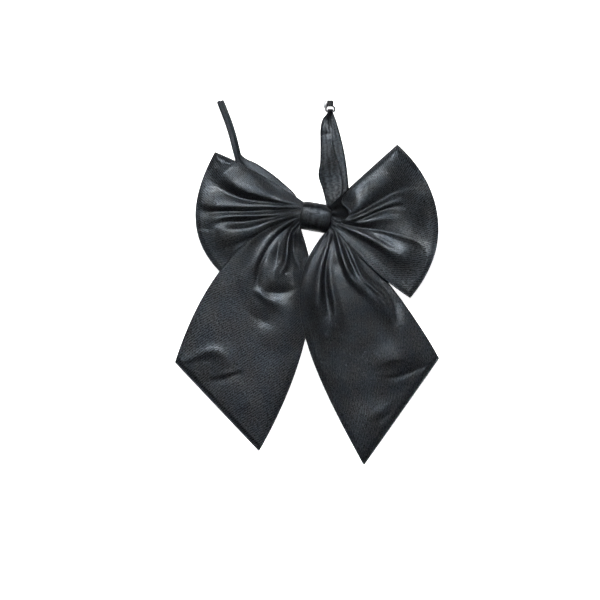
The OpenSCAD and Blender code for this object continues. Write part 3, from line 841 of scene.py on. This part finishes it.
def threads(name, lines, radius, node, body, closed=False, turns=8):
    verts, faces = [], []
    for line in lines:
        v, f = rod(line, radius, closed, 2, turns)
        faces += [tuple(i + len(verts) for i in face) for face in f]
        verts += v
    obj = new_object(name, verts, faces, THREAD)
    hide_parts(node)
    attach(obj, body)


def stitch_line(a, b, sag):
    """A short stitch from a to b that stands off the cloth in its middle."""
    u = np.linspace(0, 1, 9)[:, None]
    return np.asarray(a) * (1 - u) + np.asarray(b) * u + np.array(sag) * np.sin(math.pi * u)


def binding():
    lines = []
    for i in range(5):
        a = np.linspace(0, 2 * math.pi, 140, endpoint=False)
        x = (i - 2) * 0.8 + 0.1 * np.sin(a * 2 + i)
        r = 5.55 + 0.06 * np.sin(7 * a + i)
        lines.append(tilted(np.column_stack([x, r * np.cos(a) - 0.4, KNOT_MID + r * np.sin(a)])))
    threads("binding_turns", lines, 0.26, "binding_thread", "root", True, 60)


def knot_seam():
    lines = []
    for x in np.arange(-8, 8.1, 2):
        lines.append(tilted(stitch_line((x - 0.3, 2.3, 0.30), (x + 0.3, 3.7, 0.30), (0, 0, -0.1))))
    threads("knot_seam_threads", lines, 0.16, "knot_seam_stitches", "root")


# ---------------------------------------------------------------- neck straps
def flat(x, y, z, deg, half=6.0, thick=0.35, up=1):
    """A station of a strap that lies flat: centre, half width and half thickness as vectors."""
    a = math.radians(deg)
    return [(x, y, z), (-up * half * math.sin(a), up * half * math.cos(a), 0), (0, 0, up * thick)]


def fold(centre, wide, ahead, r, thick, down=True):
    """Stations of a strap that turns back on itself round a centre."""
    out = []
    for i in range(9):
        a = math.pi * i / 8
        n = math.sin(a) * np.asarray(ahead) + np.array([0, 0, (1 if down else -1) * math.cos(a)])
        out.append([tuple(np.asarray(centre) + r * n), wide, tuple(thick * n)])
    return out


def turned(stations):
    """After a fold the width vector keeps its side of the cloth."""
    return [[c, (-w[0], -w[1], -w[2]), t] for c, w, t in stations]


def strap_section(step):
    """Cross-section of a flat tube of cloth with soft edges; step is the fold line seen on top."""
    top = np.linspace(1, -1, 15)
    height = (1 - np.abs(top) ** 5) ** 0.5
    if step is not None:
        height = height * np.where(top > step, 1.0, 0.35)
    low = np.linspace(-1, 1, 15)[1:-1]
    under = -((1 - np.abs(low) ** 5) ** 0.5)
    return np.vstack([np.column_stack([top, height]), np.column_stack([low, under])])


def ribbon(name, stations, node, per, step, phase, relief):
    """A strap through stations, and its length along the middle in metres."""
    u = np.linspace(0, 1, per * (len(stations) - 1) + 1)
    centre, wide, thick = [through([station[k] for station in stations], u) for k in range(3)]
    sections = []
    for i, v in enumerate(u):
        sec = strap_section(step(v))
        sec[:, 1] *= 1 + 0.06 * np.sin(9 * sec[:, 0] + 40 * v + phase) * (sec[:, 1] > 0)
        sec[:, 1] += relief(v, sec[:, 0]) / np.linalg.norm(thick[i])
        sec[:, 0] *= 1 + 0.03 * math.sin(31 * v + phase)
        sections.append(sec)
    obj = tube(name, centre, wide, thick, SATIN_STRAP, sections)
    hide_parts(node)
    return obj, MM * float(np.linalg.norm(np.diff(centre, axis=0), axis=1).sum())


ROLLED = (2.2, 0.75)  # half width and half thickness where the long strap is folded lengthwise
UP_Z, DOWN_Z = 2.5, 0.82  # heights of its two layers there
ACROSS_Y = -50  # where it crosses behind the tails


def fold_line(v):
    """Where the lengthwise fold shows across the long strap, from -1 to 1, or None past its rolled part."""
    return -0.1 + 0.25 * math.sin(30 * v) if v < 0.62 else None


def tip_up(v, x):
    """The long strap tips up along the wing's top edge."""
    return 0.9 * x * math.sin(math.pi * v / 0.15) ** 0.5 if v < 0.15 else 0 * x


def long_strap():
    out = [flat(-5, 2.2, 1.6, 150, 2.2), flat(-11, 5.4, 1.8, 145, 2.6), flat(-16, 9.6, 1.9, 142, 5.4),
           flat(-22.2, 14.7, 1.9, 142), flat(-29.1, 20.5, 2.3, 145), flat(-38.5, 26.8, UP_Z, 147),
           flat(-44.3, 32, UP_Z, 136, 3.8, 0.6)]
    route = [(-47, 36.6, 112), (-47.9, 40, 103), (-49.8, 47.7, 106), (-52.2, 55.5, 109), (-54.9, 62.7, 112)]
    out += [flat(x, y, UP_Z, d, *ROLLED) for x, y, d in route]
    side = flat(0, 0, 0, 113, ROLLED[0])[1]
    way = (math.cos(math.radians(113)), math.sin(math.radians(113)), 0)
    turn = fold((-57.2, 68.5, (UP_Z + DOWN_Z) / 2), side, way, (UP_Z - DOWN_Z) / 2, ROLLED[1])
    back = [flat(x, y, DOWN_Z, d, *ROLLED, -1) for x, y, d in route[::-1] + [(-46.6, 35, 102)]]
    back += [flat(-45.2, 29, 0.65, 102, 4, 0.55, -1)]
    back += [flat(x, y, 0.45, d, up=-1)
             for x, y, d in [(-43, 20, 101), (-40.8, 5, 95), (-40, -15, 90), (-40, -40, 90)]]
    slant = (math.cos(math.radians(225)), math.sin(math.radians(225)), 0)
    corner = fold((-40, ACROSS_Y, 0.95), (-6, 6, 0), slant, 0.5, 0.35, False)
    across = [flat(x, ACROSS_Y, z, 0) for x, z in
              [(-31, 1.45), (-16, 1.9), (-2, 2.35), (14, 2.35), (32.5, 2.35), (35, 2.9)]]
    eye = fold((37, ACROSS_Y, 1.93), (0, 6, 0), (1, 0, 0), 1.25, 0.35)
    end = [flat(x, ACROSS_Y, z, 0, up=-1) for x, z in [(35, 0.9), (32.5, 1.5), (14, 1.5), (-1.5, 1.5)]]
    stations = out + turn + turned(back) + corner + across + eye + turned(end)
    obj, length = ribbon("long_strap_band", stations, "long_neck_strap", 6, fold_line, 3, tip_up)
    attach(obj, "root")


def strap_wrinkles(v, x):
    """Slack in the front layer of the short strap, none at its root and round the hook."""
    if v >= 0.43:
        return 0 * x
    free = math.sin(math.pi * v / 0.43) ** 0.6
    slow = 0.55 * np.sin(2 * math.pi * 5.2 * v + 0.8 * x + 1.4)
    place = -0.75 + 0.75 * smooth((v - 0.24) / 0.16)
    deep = 0.8 * smooth((v - 0.22) / 0.05) * smooth((0.43 - v) / 0.04)
    crease = -deep * np.exp(-(((x - place) / 0.3) ** 2))
    seam = -0.35 * math.exp(-(((v - 0.235) / 0.009) ** 2))
    return free * (slow - 0.2 * x) + crease + seam


def no_fold(v):
    return None


def short_strap():
    up = [flat(9.6, 6.5, 1.2, 99, 3.4), flat(10.4, 10.6, 1.7, 97, 4.9), flat(10.2, 17.4, 2.1, 97, 6.2),
          flat(8.5, 25.5, 2.3, 96, 7.0), flat(7.8, 33.3, 2.35, 95, 5.5), flat(6.6, 43.7, 2.4, 92, 4.1),
          flat(6.2, 52, 2.5, 88, 3.6), flat(6.6, 58, 2.6, 84, 2.7), flat(8.3, 61.6, 2.72, 80, 1.75)]
    turn = fold((8.6, 63.4, 1.75), (-1.75, 0, 0), (0, 1, 0), 1.0, 0.35)
    down = [flat(x, y, z, d, half, up=-1) for x, y, z, d, half in
            [(8.9, 61.6, 0.77, 98, 1.75), (9.4, 57, 0.8, 97, 3), (10.2, 50, 0.8, 97, 4.2),
             (11, 42, 0.8, 97, 5.2), (12, 32, 0.8, 96, 6.0), (13.4, 19, 0.8, 98, 6.3),
             (14.1, 13.5, 0.8, 98, 6.0)]]
    stations = up + turn + turned(down)
    obj, length = ribbon("short_strap_band", stations, "short_neck_strap", 12, no_fold, 5, strap_wrinkles)
    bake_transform(obj)


def strap_stitches():
    lines = [stitch_line((x, y, 0.2), (x + 0.1, y + 0.1, 2.6), (0.05, 0, 0))
             for x, y in [(-6.5, 1.8), (-6.5, 4), (-8.5, 3), (-8.5, 5)]]
    threads("strap_anchor_threads", lines, 0.2, "strap_anchor_stitches", "root")
    lines = [stitch_line((-1.1, ACROSS_Y + y - 0.45, 1.9), (-0.8, ACROSS_Y + y + 0.45, 1.9), (0, 0, 0.14))
             for y in np.arange(-4.5, 4.6, 1.5)]
    threads("strap_end_threads", lines, 0.2, "strap_end_stitches", "root")
    lines = []
    for i in range(7):
        x = 4.6 + 1.35 * i
        y = 31.0 + 0.42 * i
        lines.append(stitch_line((x, y, 2.68), (x + 0.95, y + 0.3, 2.68), (0, 0, 0.12)))
    threads("short_strap_threads", lines, 0.16, "short_strap_stitches", "short_strap")


# ---------------------------------------------------------------- clasp
def smooth_path(points):
    return through(points, np.linspace(0, 1, 8 * (len(points) - 1) + 1))


def rounded_outline(x0, y0, x1, y1, r, steps):
    """A rectangle with round corners."""
    out = []
    corners = [(x1 - r, y1 - r), (x0 + r, y1 - r), (x0 + r, y0 + r), (x1 - r, y0 + r)]
    for quarter, (x, y) in enumerate(corners):
        for i in range(steps + 1):
            a = math.radians(90 * (quarter + i / steps))
            out.append((x + r * math.cos(a), y + r * math.sin(a)))
    return np.array(out)


def slab(outline, z0, z1, soft):
    """A plate with eased edges."""
    way = outline - outline.mean(axis=0)
    way = way / np.linalg.norm(way, axis=1, keepdims=True)
    part = soft * 0.3
    levels = [(z0, soft), (z0 + part, part), (z0 + soft, 0), (z1 - soft, 0), (z1 - part, part), (z1, soft)]
    rings = [np.column_stack([outline - way * inset, np.full(len(outline), z)]) for z, inset in levels]
    n = len(outline)
    verts = np.vstack(rings)
    faces = [(r * n + i, r * n + (i + 1) % n, (r + 1) * n + (i + 1) % n, (r + 1) * n + i)
             for r in range(len(rings) - 1) for i in range(n)]
    faces.append(tuple(range(n - 1, -1, -1)))
    faces.append(tuple(range((len(rings) - 1) * n, len(rings) * n)))
    return list(verts), faces


def merged(name, parts, material):
    """One object from several (vertices, faces) parts."""
    verts, faces = [], []
    for v, f in parts:
        faces += [tuple(i + len(verts) for i in face) for face in f]
        verts += list(v)
    return new_object(name, verts, faces, material)


def clasp_hook():
    z = 1.75
    wire = [(6.0, 63.4, z), (6.0, 64.6, z), (6.1, 65.6, z), (7.0, 66.6, z), (7.4, 67.4, z)]
    other = [(11.2, 63.4, z), (11.2, 64.6, z), (11.0, 65.6, z), (9.9, 66.6, z), (9.5, 67.4, z)]
    bar = [(6.0, 63.4, z), (7.7, 63.4, z), (9.5, 63.4, z), (11.2, 63.4, z)]
    plate = slab(rounded_outline(4.9, 66.2, 10.5, 69.9, 0.9, 5), z - 0.7, z + 0.7, 0.25)
    rods = [rod(smooth_path(line), 0.5) for line in (wire, other, bar)]
    # The hook's wires and plate are near-black, partly their own colour and partly painted shade.
    body = merged("hook_body_with_painted_shade", rods + [plate], HOOK_BLACK_AND_SHADE)
    # The tongue on the left is light nickel: a painted highlight on the hook's left face.
    path = smooth_path([(6.6, 69.6, 2.2), (6.1, 69.2, 2.75), (5.8, 67.8, 2.95), (5.5, 66.4, 2.95),
                        (5.3, 65.3, 2.85)])
    a = np.linspace(0, 2 * math.pi, 16, endpoint=False)
    section = np.column_stack([np.cos(a), 0.45 * np.sin(a)])
    wide = np.linspace(1.05, 0.8, len(path))[:, None] * np.array([1.0, 0.25, 0])
    up = np.tile([0, 0, 1.0], (len(path), 1))
    tongue = tube("hook_tongue_painted_highlight", path, wide, up, NICKEL, [section] * len(path))
    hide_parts("clasp_hook")
    for obj in (body, tongue):
        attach(obj, "hook")


def clasp_eye():
    loop = rounded_outline(37.0, ACROSS_Y - 7.1, 45.0, ACROSS_Y + 7.1, 1.0, 4)
    line = np.column_stack([loop, np.full(len(loop), 1.93)])
    obj = merged("eye_wire", [rod(line, 0.68, True)], NICKEL)
    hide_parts("clasp_eye")
    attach(obj, "eye")


def adjuster_bar(x0, x1, y0, y1, z0, z1, soft):
    """A bar of the adjuster, with y0 and y1 from the strap's middle line."""
    return slab(rounded_outline(x0, ACROSS_Y + y0, x1, ACROSS_Y + y1, 0.4, 3), z0, z1, soft)


def slide_adjuster():
    parts = [adjuster_bar(8.6, 19.4, y, y + 1.3, 0.02, 3.88, 0.3) for y in (-7.8, 6.5)]
    parts += [adjuster_bar(x, x + 1.6, -7.1, 7.1, 2.92, 3.86, 0.22) for x in (8.6, 17.8)]
    parts.append(adjuster_bar(13.2, 14.8, -7.1, 7.1, 0.04, 0.96, 0.22))
    obj = merged("adjuster_frame", parts, NICKEL)
    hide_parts("slide_adjuster")
    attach(obj, "adjuster")


knot_band()
gathered_bundle()
binding()
knot_seam()
long_strap()
short_strap()
strap_stitches()
clasp_hook()
clasp_eye()
slide_adjuster()

# ---------------------------------------------------------------- floor, light, camera
def floor():
    mat, _, _, bsdf = node_material("studio_floor")
    put(bsdf, Base_Color=(0.93, 0.93, 0.93, 1), Roughness=0.9,
        Emission_Color=(1, 1, 1, 1), Emission_Strength=1.0)
    half = 900
    corners = [(-half, -half, 0), (half, -half, 0), (half, half, 0), (-half, half, 0)]
    new_object("floor", corners, [(0, 1, 2, 3)], mat)


def softbox(name, place, aim, wide, tall, power):
    light = bpy.data.lights.new(name, "AREA")
    light.shape = "RECTANGLE"
    light.size = wide
    light.size_y = tall
    light.energy = power
    obj = bpy.data.objects.new(name, light)
    bpy.context.scene.collection.objects.link(obj)
    obj.location = place
    way = Vector(aim) - Vector(place)
    obj.rotation_euler = way.to_track_quat("-Z", "Y").to_euler()
    return light


def lights():
    softbox("key", (-0.10, 0.94, 2.18), (0, -0.04, 0), 0.45, 0.35, 48.0)
    low = softbox("key_tails", (-0.04, 0.80, 2.3), (0.014, -0.145, 0), 0.3, 0.3, 0.25)
    low.spread = math.radians(8)
    softbox("top", (0.0, -0.14, 1.25), (0, -0.08, 0), 0.35, 0.4, 0.2)
    softbox("fill_west", (-1.0, 0.25, 0.75), (0, -0.03, 0), 0.35, 0.35, 0.5)
    softbox("fill_east", (0.9, 0.05, 0.7), (0, -0.03, 0), 0.3, 0.3, 0.3)
    world = bpy.data.worlds.new("studio")
    world.use_nodes = True
    put(world.node_tree.nodes["Background"], Color=(1, 1, 1, 1), Strength=0.008)
    bpy.context.scene.world = world
    bpy.context.scene.view_settings.view_transform = "Standard"


def camera():
    """Straight above the bow."""
    data = bpy.data.cameras.new("camera")
    data.lens = 200
    data.sensor_width = 36
    cam = bpy.data.objects.new("camera", data)
    bpy.context.scene.collection.objects.link(cam)
    cam.location = (-0.0096, -0.0501, 2.005)
    bpy.context.scene.camera = cam


floor()
lights()
camera()
